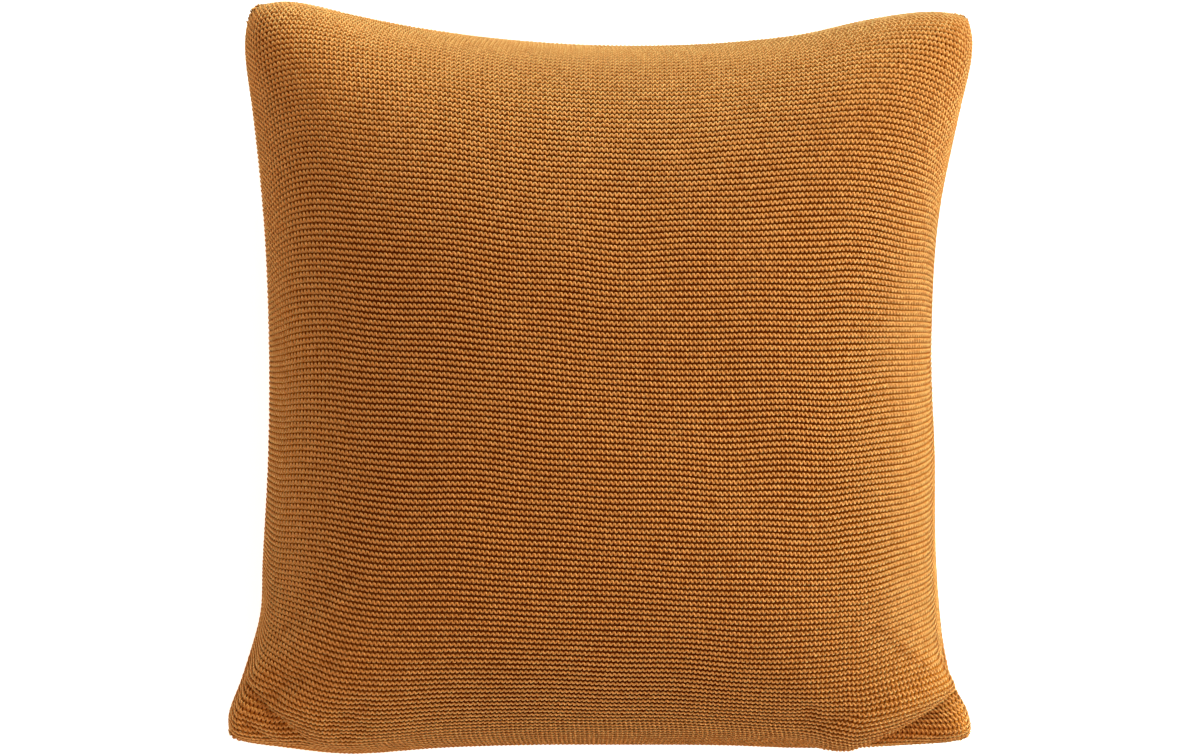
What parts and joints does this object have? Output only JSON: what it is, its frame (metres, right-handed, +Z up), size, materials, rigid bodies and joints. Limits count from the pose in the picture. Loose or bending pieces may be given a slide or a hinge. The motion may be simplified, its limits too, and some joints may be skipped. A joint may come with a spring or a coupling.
{
  "type": "knitted cushion",
  "caption": "Square filled cushion in a garter-stitch knitted cover, full in the middle, with drawn-in sides and soft corner ears, lying on its back.",
  "frame": {"origin": "on the surface the cushion lies on, under the middle of its outline", "axes": "+Z up out of the face, +Y towards the cushion's top edge, +X to the right across the face"},
  "size_m": [0.4992, 0.4978, 0.15],
  "materials": {
    "knit": "matt ochre cotton yarn, garter stitch"
  },
  "bodies": {
    "root": {"cushion": "knit"}
  },
  "joints": []
}
